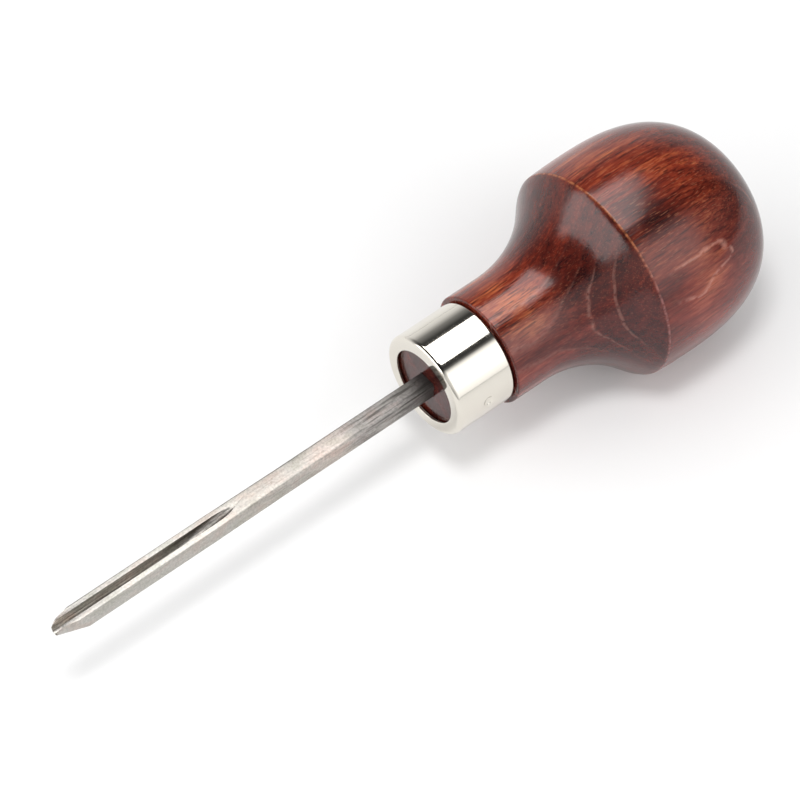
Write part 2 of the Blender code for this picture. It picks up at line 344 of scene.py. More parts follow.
# %% Bulb
BULB_RADIUS = (handle_high.y - handle_low.y) / 2
RIDGE_TO_WIDEST = 0.0066
SWELL_STEPS = 16
DOME_POWER = 2.6
DOME_ROOT = 2.8
DOME_STEPS = 48
widest_x = ridge_x + RIDGE_TO_WIDEST
swell = []
for i in range(1, SWELL_STEPS):
    t = i / SWELL_STEPS
    swell.append((ridge_x + RIDGE_TO_WIDEST * t, BULB_RADIUS - (BULB_RADIUS - ridge_r) * (1 - t) ** 2))
dome = []
for i in range(DOME_STEPS + 1):
    t = 1 - (1 - i / DOME_STEPS) ** 2
    out = BULB_RADIUS * (1 - t**DOME_POWER) ** (1 / DOME_ROOT)
    dome.append((widest_x + (HANDLE_END - widest_x) * t, out))
handle_profile = tenon + neck + cove + shoulder + swell + dome
print(f"widest at {widest_x * MM:.1f} mm; {len(handle_profile)} points in the profile")

# %% [markdown]
# ### Turning
# A spin turns the profile about the X axis and merges its last step with its first. Spun shapes can come
# out inside out, so the doubles are merged and the normals worked out again at the end. The ridge gets a
# small bevel: a lathe leaves it crisp, but sanding and lacquer always round an edge a little, and that
# round is what catches the light.

# %% Turn the handle
TURNED_STEPS = 192
RIDGE_ROUND = 0.00022
RIDGE_SEGMENTS = 4
SAME_PLACE = 1e-6
MERGE_DISTANCE = 1e-7


def turned(profile, closed, steps):
    """Turns a profile of (along, out) points about the X axis."""
    bm = bmesh.new()
    verts = [bm.verts.new((along, 0, out)) for along, out in profile]
    pairs = list(zip(verts, verts[1:]))
    if closed:
        pairs.append((verts[-1], verts[0]))
    edges = [bm.edges.new(pair) for pair in pairs]
    bmesh.ops.spin(
        bm, geom=verts + edges, cent=(0, 0, 0), axis=(1, 0, 0), angle=math.tau, steps=steps, use_merge=True
    )
    return bm


def as_object(bm, name):
    """Ends a bmesh as an object, with its faces all turned outwards."""
    bmesh.ops.remove_doubles(bm, verts=bm.verts, dist=MERGE_DISTANCE)
    bmesh.ops.recalc_face_normals(bm, faces=bm.faces)
    mesh = bpy.data.meshes.new(name)
    bm.to_mesh(mesh)
    bm.free()
    obj = bpy.data.objects.new(name, mesh)
    bpy.context.collection.objects.link(obj)
    return obj


bm = turned(handle_profile, closed=False, steps=TURNED_STEPS)
ridge_edges = []
for edge in bm.edges:
    if all(abs(v.co.x - ridge_x) < SAME_PLACE and v.co.yz.length > ridge_r / 2 for v in edge.verts):
        ridge_edges.append(edge)
bmesh.ops.bevel(
    bm,
    geom=ridge_edges,
    offset=RIDGE_ROUND,
    affect="EDGES",
    segments=RIDGE_SEGMENTS,
    profile=0.5,
    material=-1,
)
handle = as_object(bm, "turned_handle")
print("ridge edges rounded:", len(ridge_edges))

# %% [markdown]
# ### Hole for the tang
# The blade's tang is driven into a tapered square hole, which fits it so closely that hardly a line shows.
# The hole is cut all the same, so that wood and steel never share a place: a few square sections are
# bridged into a solid, and a Boolean takes that solid away. The same helpers shape the blade later on.

# %% Hole for the tang
TANG_TIP_SIDE = 0.0016
HOLE_CLEARANCE = 0.00006
HOLE_TIP_CLEARANCE = 0.0004
HOLE_CORNER = 0.0002
HOLE_CORNER_STEPS = 4
HOLE_LEAD = 0.001
HOLE_END_GAP = 0.0002


def rounded_square(along, side, corner, steps):
    """A square section across the tool with rounded corners."""
    inner = side / 2 - corner
    points = []
    for i, (y, z) in enumerate([(inner, inner), (-inner, inner), (-inner, -inner), (inner, -inner)]):
        for j in range(steps + 1):
            angle = QUARTER * (i + j / steps)
            points.append((along, y + corner * math.cos(angle), z + corner * math.sin(angle)))
    return points


def loft(sections):
    """Bridges sections, each a ring with the same count of points, and closes both ends."""
    bm = bmesh.new()
    rings = []
    for section in sections:
        verts = [bm.verts.new(point) for point in section]
        rings.append([bm.edges.new((verts[i - 1], verts[i])) for i in range(len(verts))])
    for ring, after in zip(rings, rings[1:]):
        bmesh.ops.bridge_loops(bm, edges=ring + after)
    bmesh.ops.edgeloop_fill(bm, edges=rings[0])
    bmesh.ops.edgeloop_fill(bm, edges=rings[-1])
    return bm


def carve(obj, bm, operation):
    """Cuts a piece with a second shape, or keeps only what lies inside it, and drops that shape."""
    cutter = as_object(bm, "cutter")
    modifier = obj.modifiers.new("carve", "BOOLEAN")
    modifier.operation = operation
    modifier.object = cutter
    carved = bpy.data.meshes.new_from_object(obj.evaluated_get(bpy.context.evaluated_depsgraph_get()))
    obj.modifiers.remove(modifier)
    before = obj.data
    obj.data = carved
    carved.name = obj.name
    bpy.data.meshes.remove(before)
    bpy.data.meshes.remove(cutter.data)


hole_side = BAR_SIDE + HOLE_CLEARANCE
hole = [
    (TENON_FACE - HOLE_LEAD, hole_side),
    (TENON_FACE, hole_side),
    (TANG_END + HOLE_END_GAP, TANG_TIP_SIDE + HOLE_TIP_CLEARANCE),
]
carve(
    handle,
    loft([rounded_square(along, side, HOLE_CORNER, HOLE_CORNER_STEPS) for along, side in hole]),
    "DIFFERENCE",
)
print(f"hole {hole_side * MM:.2f} mm square; handle has {len(handle.data.polygons)} faces")

# %% [markdown]
# ## Stained and lacquered wood
# The handle was turned from a plank of plain hardwood, stained red-brown and lacquered to a gloss. To the
# eye that is dark pores and long streaks under a clear, shiny skin. A picture of wood would have to be
# wrapped round the bulb, and it would stretch there. So the patterns are solid ones, which fill the space
# and run through the wood as the real grain does. Each has a real size in millimetres along the grain and
# across it. The real pores are finer than the ones here, which are drawn as coarse as they need to show.

# %% Patterns in the wood
# Each pattern: its length along the grain and its width across it in mm, then its detail and roughness.
# Wobble bends the rings, cloud and streak shade the stain, and patchy breaks up the pale lines and wear.
WOOD_PATTERNS = {
    "wobble": (14.29, 7.69, 2.0, 0.5),
    "cloud": (20.0, 7.143, 3.0, 0.6),
    "streak": (14.29, 1.053, 4.0, 0.7),
    "fibre": (3.333, 0.4545, 3.0, 0.7),
    "pore": (3.846, 0.2941, 2.0, 0.5),
    "fleck": (1.429, 0.2222, 1.0, 0.5),
    "patchy": (1.111, 0.6667, 2.0, 0.5),
}


def piece_material(name):
    """A material for a piece, with coordinates in millimetres from the ferrule's front on the axis."""
    material, tree, shader = new_material(name)
    place = add(tree, "TexCoord", {}).outputs["Object"]
    to_axis = (-FERRULE_FRONT * MM, 0, -AXIS_Z * MM)
    mm = add(tree, "Mapping", {"Vector": place, "Location": to_axis, "Scale": (MM, MM, MM)}).outputs[0]
    return material, tree, shader, mm


def solid_patterns(tree, mm, sizes):
    """Solid noises by name, each from its length, width, detail and roughness."""
    patterns = {}
    for name, (length, width, detail, roughness) in sizes.items():
        spot = add(tree, "Mapping", {"Vector": mm, "Scale": (1 / length, 1 / width, 1 / width)}).outputs[0]
        noise = {"Vector": spot, "Scale": 1.0, "Detail": detail, "Roughness": roughness}
        patterns[name] = add(tree, "TexNoise", noise).outputs["Fac"]
    return patterns


wood, tree, shader, mm = piece_material("stained_lacquered_wood")
patterns = solid_patterns(tree, mm, WOOD_PATTERNS)
print("patterns in the wood:", ", ".join(patterns))

# %% [markdown]
# ### Yearly rings
# In a plank cut far from the heart of the tree, the yearly rings are nearly flat sheets. Where the lathe
# cut along a sheet, its pale line shows as a wide U on the flare, and where it cut across the sheets they
# are only streaks. So each ring is a distance from the axis towards the pith, a slow noise makes the
# sheets wobble, and a ramp over that distance draws a pale line at each ring and a tone that starts anew.

# %% Yearly rings
PITH_SIDE = math.radians(60)
RING_WOBBLE = 0.9
HALF_RANGE = 20.0
# The lines fade to a small share between these distances aside, where the cut runs across the sheets.
FLAT_CUT_FROM = 5.0
FLAT_CUT_TO = 9.5
CROSS_CUT_SHARE = 0.06
# Each ring: its distance from the axis towards the pith, the width of its pale line, and how strong it is.
RINGS = [
    (-13.4, 0.3, 0.5),
    (-9.9, 0.3, 0.4),
    (-6.0, 0.3, 0.5),
    (-1.8, 0.3, 0.4),
    (3.4, 0.3, 0.4),
    (6.9, 0.3, 0.4),
    (9.8, 0.12, 0.3),
    (11.6, 0.22, 0.2),
    (13.85, 0.22, 0.25),
    (18.60, 0.12, 0.0),
]
grain = add(tree, "Mapping", {"Vector": mm, "Rotation": (-PITH_SIDE, 0, 0)}).outputs[0]
grain_axes = add(tree, "SeparateXYZ", {"Vector": grain}).outputs
wobble_range = {"Value": patterns["wobble"], "To Min": -RING_WOBBLE, "To Max": RING_WOBBLE}
wobble = add(tree, "MapRange", wobble_range).outputs[0]
depth = add(tree, "Math", {0: grain_axes["Z"], 1: wobble}, operation="ADD").outputs[0]
ring_range = {"Value": depth, "From Min": -HALF_RANGE, "From Max": HALF_RANGE}
ring_share = add(tree, "MapRange", ring_range).outputs[0]
line_table = []
tone_table = []
for distance, width, strength in RINGS:
    line_table += [(distance - width, 0), (distance, strength), (distance + width / 2, 0)]
    tone_table += [(distance - width, 1), (distance + width, 0)]
line_stops = ramp_stops(line_table, -HALF_RANGE, HALF_RANGE)
ring_line = add(tree, "ValToRGB", {"Fac": ring_share}, stops=line_stops).outputs[0]
tone_stops = ramp_stops(tone_table[1:], -HALF_RANGE, HALF_RANGE)
ring_tone = add(tree, "ValToRGB", {"Fac": ring_share}, stops=tone_stops).outputs[0]
aside = add(tree, "Math", {0: grain_axes["Y"]}, operation="ABSOLUTE").outputs[0]
cut_range = {
    "Value": aside,
    "From Min": FLAT_CUT_FROM,
    "From Max": FLAT_CUT_TO,
    "To Min": 1.0,
    "To Max": CROSS_CUT_SHARE,
}
flat_cut = add(tree, "MapRange", cut_range).outputs[0]
ring_line = add(tree, "Math", {0: ring_line, 1: flat_cut}, operation="MULTIPLY").outputs[0]
print("yearly rings:", len(RINGS))

# %% [markdown]
# ### Where the stain sinks in
# Stain sinks deepest where the fibres end, which is on the tenon's face, the flare and the dome's end.
# Along the top the wood is streaky, and towards both sides it is calmer. Two ramps hold that: one by the
# distance along the tool, and one by the angle round it. The greater of the two tells how calm a place is.

# %% Where the stain sinks in
# A share by the distance along the tool in mm, and a share by degrees away from the streakiest line.
# The dark of the first share ends at 11.4 to 11.7 mm, on the neck's front edge by the back of the ferrule:
# there it is partly end grain and partly painted shade where the ferrule meets the wood.
END_GRAIN_AND_JOINT_SHADE = [(0, 1.1), (11.4, 1.1), (11.7, 0.1), (17, 0), (24, 0.75), (29, 1), (35, 0.9)]
END_GRAIN_AND_JOINT_SHADE += [(36.2, 0.35), (48, 0.3), (57, 0.6), (64, 1)]
EVEN_SIDE = [(18, 0), (36, 0.75), (52, 1), (112, 1), (142, 0)]
STREAKY_LINE = math.radians(8)
axes = add(tree, "SeparateXYZ", {"Vector": mm}).outputs
along = axes["X"]
along_share = add(tree, "Math", {0: along, 1: HANDLE_END * MM}, operation="DIVIDE").outputs[0]
end_stops = ramp_stops(END_GRAIN_AND_JOINT_SHADE, 0, HANDLE_END * MM)
end_grain_and_joint_shade = add(tree, "ValToRGB", {"Fac": along_share}, stops=end_stops).outputs[0]
near = add(tree, "Math", {0: axes["Y"], 1: -1.0}, operation="MULTIPLY").outputs[0]
side = add(tree, "Math", {0: near, 1: axes["Z"]}, operation="ARCTAN2").outputs[0]
side_share = add(tree, "Math", {0: side, 1: math.pi}, operation="DIVIDE").outputs[0]
from_line = add(tree, "Math", {0: side, 1: STREAKY_LINE}, operation="SUBTRACT").outputs[0]
from_line = add(tree, "Math", {0: from_line}, operation="ABSOLUTE").outputs[0]
from_line = add(tree, "Math", {0: from_line, 1: math.pi}, operation="DIVIDE").outputs[0]
even_side = add(tree, "ValToRGB", {"Fac": from_line}, stops=ramp_stops(EVEN_SIDE, 0, 180)).outputs[0]
calm = add(tree, "Math", {0: even_side, 1: end_grain_and_joint_shade}, operation="MAXIMUM").outputs[0]
print("end grain stops:", len(END_GRAIN_AND_JOINT_SHADE), "side stops:", len(EVEN_SIDE))

# %% [markdown]
# ### Stain
# One number, the tone, says how light the wood is at a place. Clouds, streaks and fibres add to it, the
# rings add a little, and end grain takes away, with a little painted shade where the ferrule meets the
# wood. Then come blotches, each a soft ball in the wood: most are where the stain took lightly or
# heavily, and two light ones on the far side are painted light. A ramp turns the tone into a colour. The
# near side is then painted cooler and darker by the angle round the tool, a painted shade and reflection.

# %% Tone of the wood
# How much the fibres count where the wood is streaky and where it is even.
FIBRE_STREAKY = 0.8
FIBRE_EVEN = 0.35
FIBRE_MIDDLE = 0.5
CLOUD_SHARE = 0.45
STREAK_SHARE = 0.6
RING_SHARE = 0.10
END_GRAIN_AND_JOINT_SHADE_SHARE = -0.33
fibre_range = {"Value": calm, "To Min": FIBRE_STREAKY, "To Max": FIBRE_EVEN}
fibre_share = add(tree, "MapRange", fibre_range).outputs[0]
fibre = add(tree, "Math", {0: patterns["fibre"], 1: FIBRE_MIDDLE}, operation="SUBTRACT").outputs[0]
tone = add(tree, "Math", {0: fibre, 1: fibre_share}, operation="MULTIPLY").outputs[0]
tone_shares = [
    (patterns["cloud"], CLOUD_SHARE),
    (patterns["streak"], STREAK_SHARE),
    (ring_tone, RING_SHARE),
    (end_grain_and_joint_shade, END_GRAIN_AND_JOINT_SHADE_SHARE),
]
for pattern, share in tone_shares:
    tone = add(tree, "Math", {0: pattern, 1: share, 2: tone}, operation="MULTIPLY_ADD").outputs[0]
print("patterns in the tone:", len(tone_shares) + 1)

# %% Blotches
# Each blotch: its middle, as mm along, degrees from the top and mm out, then its reach in mm and its shift.
# Most are stain; the light ones at -35 and -33 degrees, on the far side, are painted light from behind.
STAIN_AND_LIGHT_BLOTCHES = [
    ((19, 20, 10), 9, 0.15),
    ((22, 4, 10), 5, 0.03),
    ((14, -4, 10), 7, 0.04),
    ((30, -8, 13), 6, 0.16),
    ((29, 22, 13), 6, -0.06),
    ((29, 58, 13), 6, 0.06),
    ((16, 68, 10), 8, -0.14),
    ((20, -35, 11), 8, 0.14),
    ((41, -33, 19), 11, 0.16),
    ((37, 90, 19), 8, -0.10),
    ((45, 60, 19), 8, 0.24),
    ((55, 10, 17), 7, 0.06),
    ((54, -4, 17), 6, -0.04),
    ((42, 78, 19), 8, 0.08),
    ((42, 22, 19), 8, -0.16),
    ((40, 4, 19), 8, -0.06),
    ((49, 4, 18), 12, 0.08),
    ((53, 58, 18), 7, -0.06),
    ((49, 27, 18), 6, 0.12),
]
for (x, angle, out), reach, shift in STAIN_AND_LIGHT_BLOTCHES:
    centre = (x, -out * math.sin(math.radians(angle)), out * math.cos(math.radians(angle)))
    away = add(tree, "VectorMath", {0: mm, 1: centre}, operation="DISTANCE").outputs["Value"]
    fade = {"Value": away, "From Min": 0.0, "From Max": reach, "To Min": shift, "To Max": 0.0}
    shift_here = add(tree, "MapRange", fade, interpolation_type="SMOOTHSTEP").outputs[0]
    tone = add(tree, "Math", {0: tone, 1: shift_here}, operation="ADD").outputs[0]
print("blotches:", len(STAIN_AND_LIGHT_BLOTCHES))

# %% Stain colours
STAIN = [(0.12, "#2C0C0B"), (0.36, "#571C12"), (0.56, "#7E2F1D"), (0.8, "#B05B35")]
# The stain's red, green and blue are multiplied by these, by degrees from the top to the near side:
# a painted shade and reflection that makes the near side cooler and darker.
NEAR_SIDE_PAINTED_SHADE = [
    (10, (1.0, 1.0, 1.0)),
    (28, (0.78, 0.92, 1.05)),
    (44, (0.72, 0.90, 1.2)),
    (60, (0.78, 0.90, 1.35)),
    (80, (0.87, 0.87, 1.35)),
    (100, (0.92, 0.78, 1.15)),
    (120, (0.95, 0.75, 1.05)),
    (150, (1.0, 1.0, 1.0)),
]
stain = add(tree, "ValToRGB", {"Fac": tone}, stops=ramp_stops(STAIN, 0, 1)).outputs[0]
near_side_painted_shade = add(tree, "ValToRGB", {"Fac": side_share}, stops=ramp_stops(NEAR_SIDE_PAINTED_SHADE, 0, 180)).outputs[0]
color = add(tree, "VectorMath", {0: stain, 1: near_side_painted_shade}, operation="MULTIPLY").outputs[0]
print("stain from", STAIN[0][1], "to", STAIN[-1][1])

# %% [markdown]
# ### Pores, flecks and pale lines
# Pores are short dark dashes and flecks are short pale ones. Both come from a noise that is cut off high,
# so only its peaks show, and both are weaker where the wood is calm. The pale ring lines are broken up by
# another noise. One more sheet only just meets the near side of the bulb, where it shows as a loop that is
# open towards the ridge. A ramp is too coarse for so thin a line, so it is drawn by distance instead.

# %% Pores and flecks
# Each mark: the noise at which it starts and at which it is full, its share on streaky and on even wood,
# and its colour.
WOOD_MARKS = {
    "fleck": (0.60, 0.70, 0.26, 0.08, "#C08060"),
    "pore": (0.55, 0.62, 0.75, 0.32, "#240A09"),
}
for name, (start, full, streaky, even, mark_color) in WOOD_MARKS.items():
    share = add(tree, "MapRange", {"Value": calm, "To Min": streaky, "To Max": even}).outputs[0]
    cut = {"Value": patterns[name], "From Min": start, "From Max": full, "To Max": share}
    mark = add(tree, "MapRange", cut).outputs[0]
    mark_mix = {0: mark, 6: color, 7: linear(mark_color)}
    color = add(tree, "Mix", mark_mix, data_type="RGBA").outputs[2]
print("marks in the wood:", ", ".join(WOOD_MARKS))

# %% Pale lines
LINE_COLOR = "#D8A090"
BROKEN_FROM = 0.32
BROKEN_TO = 0.54
LOOP_TILT = 0.032
LOOP_DEPTH = 19.97
LOOP_STRENGTH = 0.3
# The loop's line in mm from its middle, and where the loop opens, in mm behind the ridge.
LOOP_LINE_FULL = 0.01
LOOP_LINE_EDGE = 0.08
LOOP_OPEN_TO = 2.2
LOOP_FULL_FROM = 6.0
LINES_FROM_TENON = 1.0
broken_range = {"Value": patterns["patchy"], "From Min": BROKEN_FROM, "From Max": BROKEN_TO}
broken = add(tree, "MapRange", broken_range).outputs[0]
loop_depth = add(tree, "Math", {0: along, 1: LOOP_TILT, 2: depth}, operation="MULTIPLY_ADD").outputs[0]
from_loop = add(tree, "Math", {0: loop_depth, 1: LOOP_DEPTH}, operation="SUBTRACT").outputs[0]
from_loop = add(tree, "Math", {0: from_loop}, operation="ABSOLUTE").outputs[0]
ridge_mm = ridge_x * MM
open_range = {
    "Value": along,
    "From Min": ridge_mm + LOOP_OPEN_TO,
    "From Max": ridge_mm + LOOP_FULL_FROM,
    "To Max": LOOP_STRENGTH,
}
strength_here = add(tree, "MapRange", open_range).outputs[0]
line_range = {
    "Value": from_loop,
    "From Min": LOOP_LINE_FULL,
    "From Max": LOOP_LINE_EDGE,
    "To Min": strength_here,
    "To Max": 0.0,
}
loop_line = add(tree, "MapRange", line_range).outputs[0]
pale_line = add(tree, "Math", {0: ring_line, 1: loop_line}, operation="MAXIMUM").outputs[0]
pale_line = add(tree, "Math", {0: pale_line, 1: broken}, operation="MULTIPLY").outputs[0]
face_mm = TENON_FACE * MM + LINES_FROM_TENON
behind_face = add(tree, "Math", {0: along, 1: face_mm}, operation="GREATER_THAN").outputs[0]
pale_line = add(tree, "Math", {0: pale_line, 1: behind_face}, operation="MULTIPLY").outputs[0]
line_mix = {0: pale_line, 6: color, 7: linear(LINE_COLOR)}
color = add(tree, "Mix", line_mix, data_type="RGBA").outputs[2]
print(f"pale lines from {face_mm:.1f} mm, loop full from {ridge_mm + LOOP_FULL_FROM:.1f} mm")

# %% [markdown]
# ### Worn ridge and lacquer
# On the ridge the stain is rubbed thin, so bare wood shows through in patches. Towards the near side that
# bare wood is painted pinker and greyer, a painted shade and reflection. Over everything lies the gloss
# lacquer, which is the coat of the Principled shader: a second, clear surface with its own roughness. The
# wood below it gets no shine of its own. The lacquer has sunk a little into the pores and streaks, which a
# fine bump shows in the reflections.

# %% Worn ridge
RIDGE_WEAR = 0.6
WEAR_FULL = 0.06
WEAR_EDGE = 0.26
RUBBED_FROM = 0.42
RUBBED_TO = 0.6
RUBBED_LEAST = 0.2
BARE_WOOD = "#BA744C"
BARE_WOOD_NEAR_PAINTED_SHADE = "#A06A66"
# The bare wood turns to its near-side colour between these degrees from the top: a painted shade.
NEAR_FROM = 27
NEAR_TO = 59.4
from_ridge = add(tree, "Math", {0: along, 1: ridge_mm}, operation="SUBTRACT").outputs[0]
from_ridge = add(tree, "Math", {0: from_ridge}, operation="ABSOLUTE").outputs[0]
wear_range = {
    "Value": from_ridge,
    "From Min": WEAR_FULL,
    "From Max": WEAR_EDGE,
    "To Min": RIDGE_WEAR,
    "To Max": 0.0,
}
worn = add(tree, "MapRange", wear_range).outputs[0]
rubbed_range = {
    "Value": patterns["patchy"],
    "From Min": RUBBED_FROM,
    "From Max": RUBBED_TO,
    "To Min": RUBBED_LEAST,
}
rubbed = add(tree, "MapRange", rubbed_range).outputs[0]
worn = add(tree, "Math", {0: worn, 1: rubbed}, operation="MULTIPLY").outputs[0]
near_range = {"Value": side_share, "From Min": NEAR_FROM / 180, "From Max": NEAR_TO / 180}
to_near = add(tree, "MapRange", near_range).outputs[0]
bare_mix = {0: to_near, 6: linear(BARE_WOOD), 7: linear(BARE_WOOD_NEAR_PAINTED_SHADE)}
bare_wood_and_near_shade = add(tree, "Mix", bare_mix, data_type="RGBA").outputs[2]
color = add(tree, "Mix", {0: worn, 6: color, 7: bare_wood_and_near_shade}, data_type="RGBA").outputs[2]
print(f"ridge worn within {WEAR_EDGE} mm of {ridge_mm:.1f} mm")

# %% Lacquer
WOOD_ROUGHNESS = 0.5
LACQUER_WEIGHT = 0.92
LACQUER_ROUGHNESS = 0.15
LACQUER_IOR = 1.5
PORE_RELIEF = 0.3
RELIEF_STRENGTH = 0.35
RELIEF_HEIGHT = 0.0001
pores_on_streaks = {0: patterns["pore"], 1: PORE_RELIEF, 2: patterns["streak"]}
sunk = add(tree, "Math", pores_on_streaks, operation="MULTIPLY_ADD").outputs[0]
relief = {"Height": sunk, "Strength": RELIEF_STRENGTH, "Distance": RELIEF_HEIGHT}
grain_bump = add(tree, "Bump", relief).outputs[0]
tree.links.new(color, shader.inputs["Base Color"])
tree.links.new(grain_bump, shader.inputs["Normal"])
tree.links.new(grain_bump, shader.inputs["Coat Normal"])
shader.inputs["Roughness"].default_value = WOOD_ROUGHNESS
shader.inputs["Specular IOR Level"].default_value = 0.0
shader.inputs["Coat Weight"].default_value = LACQUER_WEIGHT
shader.inputs["Coat Roughness"].default_value = LACQUER_ROUGHNESS
shader.inputs["Coat IOR"].default_value = LACQUER_IOR
print("wood nodes:", len(tree.nodes))

# %% [markdown]
# ### Placing a piece
# A finished piece keeps its object at the origin, unturned, and has its place in its mesh, so a pattern on
# object coordinates stays where it is. Smooth shading suits turned work, with real corners kept sharp by
# angle. Then the piece is given its material, hung under the empty of the body that carries it, and the
# imported node it stands for is hidden.

# %% Place the handle
SHARP_ANGLE = math.radians(28)


def finish_piece(obj, node, material):
    """Moves a piece to its place on the tool, gives it its body and material, and hides its imported node.
    """
    obj.data.transform(Matrix.Translation(AXIS_START))
    obj.data.materials.clear()
    obj.data.materials.append(material)
    obj.data.shade_smooth()
    obj.data.set_sharp_from_angle(angle=SHARP_ANGLE)
    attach(obj, "root")
    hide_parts(node)
    obj.data.calc_loop_triangles()
    print(f"{obj.name}: {len(obj.data.loop_triangles)} triangles, replaces {node}")


finish_piece(handle, "handle", wood)

# %% [markdown]
# ## Ferrule
# The ferrule is a short cup drawn from thin sheet. Its open mouth lets the blade through, and its ring in
# front closes over the end of the wood. It is a closed profile with small rounds at every edge, turned
# about the axis. The outer wall gets many rings of points, more than its straight shape needs, because a
# dimple will be pressed into it.

# %% Ferrule shape
FERRULE_RADIUS = (ferrule_high.z - ferrule_low.z) / 2
FERRULE_WALL = 0.0005
FERRULE_LIP = 0.0024
MOUTH_ROUND = 0.00012
MOUTH_STEPS = 4
FRONT_ROUND = 0.0008
FRONT_STEPS = 10
BACK_ROUND = 0.00025
BACK_STEPS = 6
WALL_RINGS = 60
FERRULE_STEPS = 320
inner = FERRULE_RADIUS - FERRULE_WALL
mouth = FERRULE_RADIUS - FERRULE_LIP + MOUTH_ROUND
wall_end = FERRULE_LENGTH - BACK_ROUND
wall_step = (wall_end - FRONT_ROUND) / WALL_RINGS
ferrule_profile = arc((MOUTH_ROUND, mouth), MOUTH_ROUND, -QUARTER, -math.pi, MOUTH_STEPS)
front_centre = (FRONT_ROUND, FERRULE_RADIUS - FRONT_ROUND)
ferrule_profile += arc(front_centre, FRONT_ROUND, math.pi, QUARTER, FRONT_STEPS)
ferrule_profile += [(FRONT_ROUND + wall_step * i, FERRULE_RADIUS) for i in range(1, WALL_RINGS)]
ferrule_profile += arc((wall_end, FERRULE_RADIUS - BACK_ROUND), BACK_ROUND, QUARTER, 0, BACK_STEPS)
ferrule_profile += [(FERRULE_LENGTH, inner), (FERRULE_WALL, inner), (FERRULE_WALL, mouth)]
bm = turned(ferrule_profile, closed=True, steps=FERRULE_STEPS)
print(f"ferrule radius {FERRULE_RADIUS * MM:.2f} mm, length {FERRULE_LENGTH * MM:.2f} mm")

# %% [markdown]
# ### Staking dimple
# One blow with a round punch holds the ferrule on the wood. A Boolean with a ball would leave a sharp rim,
# and a punched rim is soft. So the points of the outer wall near the blow are moved inwards, deepest in
# the middle, with a smooth step that dies out towards the rim.

# %% Press the dimple
DIMPLE_FROM_FRONT = 0.0060
DIMPLE_ANGLE = math.radians(88)
DIMPLE_RADIUS = 0.00118
DIMPLE_DEPTH = 0.00043
outward = Vector((0, -math.sin(DIMPLE_ANGLE), math.cos(DIMPLE_ANGLE)))
dimple = Vector((DIMPLE_FROM_FRONT, 0, 0)) + outward * FERRULE_RADIUS
pressed = 0
for vert in bm.verts:
    share = 1 - ((vert.co - dimple).length / DIMPLE_RADIUS) ** 2
    if share > 0 and vert.co.yz.length > inner + FERRULE_WALL / 2:
        vert.co -= outward * DIMPLE_DEPTH * share**2 * (3 - 2 * share)
        pressed += 1
ferrule = as_object(bm, "plated_ferrule")
print("points pressed into the dimple:", pressed)

# %% [markdown]
# ### Nickel plate
# Bright nickel is a metal with a slight warm tint, polished almost to a mirror. To the eye it is mostly
# what it reflects: the softboxes, the paper and the dark between them. Plate on drawn sheet is never quite
# even, so a soft noise varies its roughness a little, and it keeps the default IOR as metals do.

# %% Nickel plate
NICKEL_COLOR = "#DFDAD0"
NICKEL_PATTERNS = {"cloud": (1.667, 1.667, 3.0, 0.5)}
NICKEL_SMOOTH = 0.05
NICKEL_DULL = 0.11
CLOUD_LOW = 0.3
CLOUD_HIGH = 0.7
nickel, tree, shader, mm = piece_material("bright_nickel")
patterns = solid_patterns(tree, mm, NICKEL_PATTERNS)
gloss_range = {
    "Value": patterns["cloud"],
    "From Min": CLOUD_LOW,
    "From Max": CLOUD_HIGH,
    "To Min": NICKEL_SMOOTH,
    "To Max": NICKEL_DULL,
}
gloss = add(tree, "MapRange", gloss_range).outputs[0]
shader.inputs["Base Color"].default_value = linear(NICKEL_COLOR)
shader.inputs["Metallic"].default_value = 1.0
tree.links.new(gloss, shader.inputs["Roughness"])
finish_piece(ferrule, "ferrule", nickel)

# %% [markdown]
# ## Blade
# The blade is a bar of square tool steel with a tapered tang inside the handle. By the flute its corners
# are ground crisp, and behind it they are worn rounder. So the bar is a few square sections with their own
# corners, bridged as the hole was. The grinding comes after that, in the order a toolmaker does it.

# %% Bar
OVERCUT = 0.0005
BAR_CORNER_STEPS = 5
FRONT_CORNER = 0.00016
BACK_CORNER = 0.00042
NEARLY_WORN = 0.8
TANG_CORNER = 0.0002
# Distances from the cutting edge: where the crisp corners end, and where they are nearly and fully worn.
CRISP_TO = 0.030
NEARLY_WORN_AT = 0.040
WORN_AT = 0.046
# A section just before the taper keeps its shading inside the wood.
TAPER_LEAD = 0.0002
bar = [
    (CUTTING_EDGE - OVERCUT, BAR_SIDE, FRONT_CORNER),
    (CUTTING_EDGE + CRISP_TO, BAR_SIDE, FRONT_CORNER),
    (CUTTING_EDGE + NEARLY_WORN_AT, BAR_SIDE, BACK_CORNER * NEARLY_WORN),
    (CUTTING_EDGE + WORN_AT, BAR_SIDE, BACK_CORNER),
    (TENON_FACE - TAPER_LEAD, BAR_SIDE, BACK_CORNER),
    (TENON_FACE, BAR_SIDE, BACK_CORNER),
    (TANG_END, TANG_TIP_SIDE, TANG_CORNER),
]
blade = as_object(loft([rounded_square(*station, BAR_CORNER_STEPS) for station in bar]), "fluted_blade")
print("bar sections:", len(bar))

# %% [markdown]
# ### Bevel
# The outside of the tip is ground to follow the U of the flute, so that a thin edge of even thickness is
# left to cut with. That is the common part of the bar and a trough which widens backwards. The two upper
# corners of the edge are swept back on a curve, by keeping what lies inside a shape seen from the side.

# %% Grind the bevel
FLUTE_WIDTH = 0.0015
FLUTE_DEPTH = 0.0021
EDGE_WALL = 0.00004
BEVEL_SIDE_ANGLE = math.radians(12.1)
BEVEL_UNDER_ANGLE = math.radians(19.4)
TROUGH_STEPS = 24
BAR_TOP = BAR_SIDE / 2
FLUTE_FLOOR = BAR_TOP - FLUTE_DEPTH


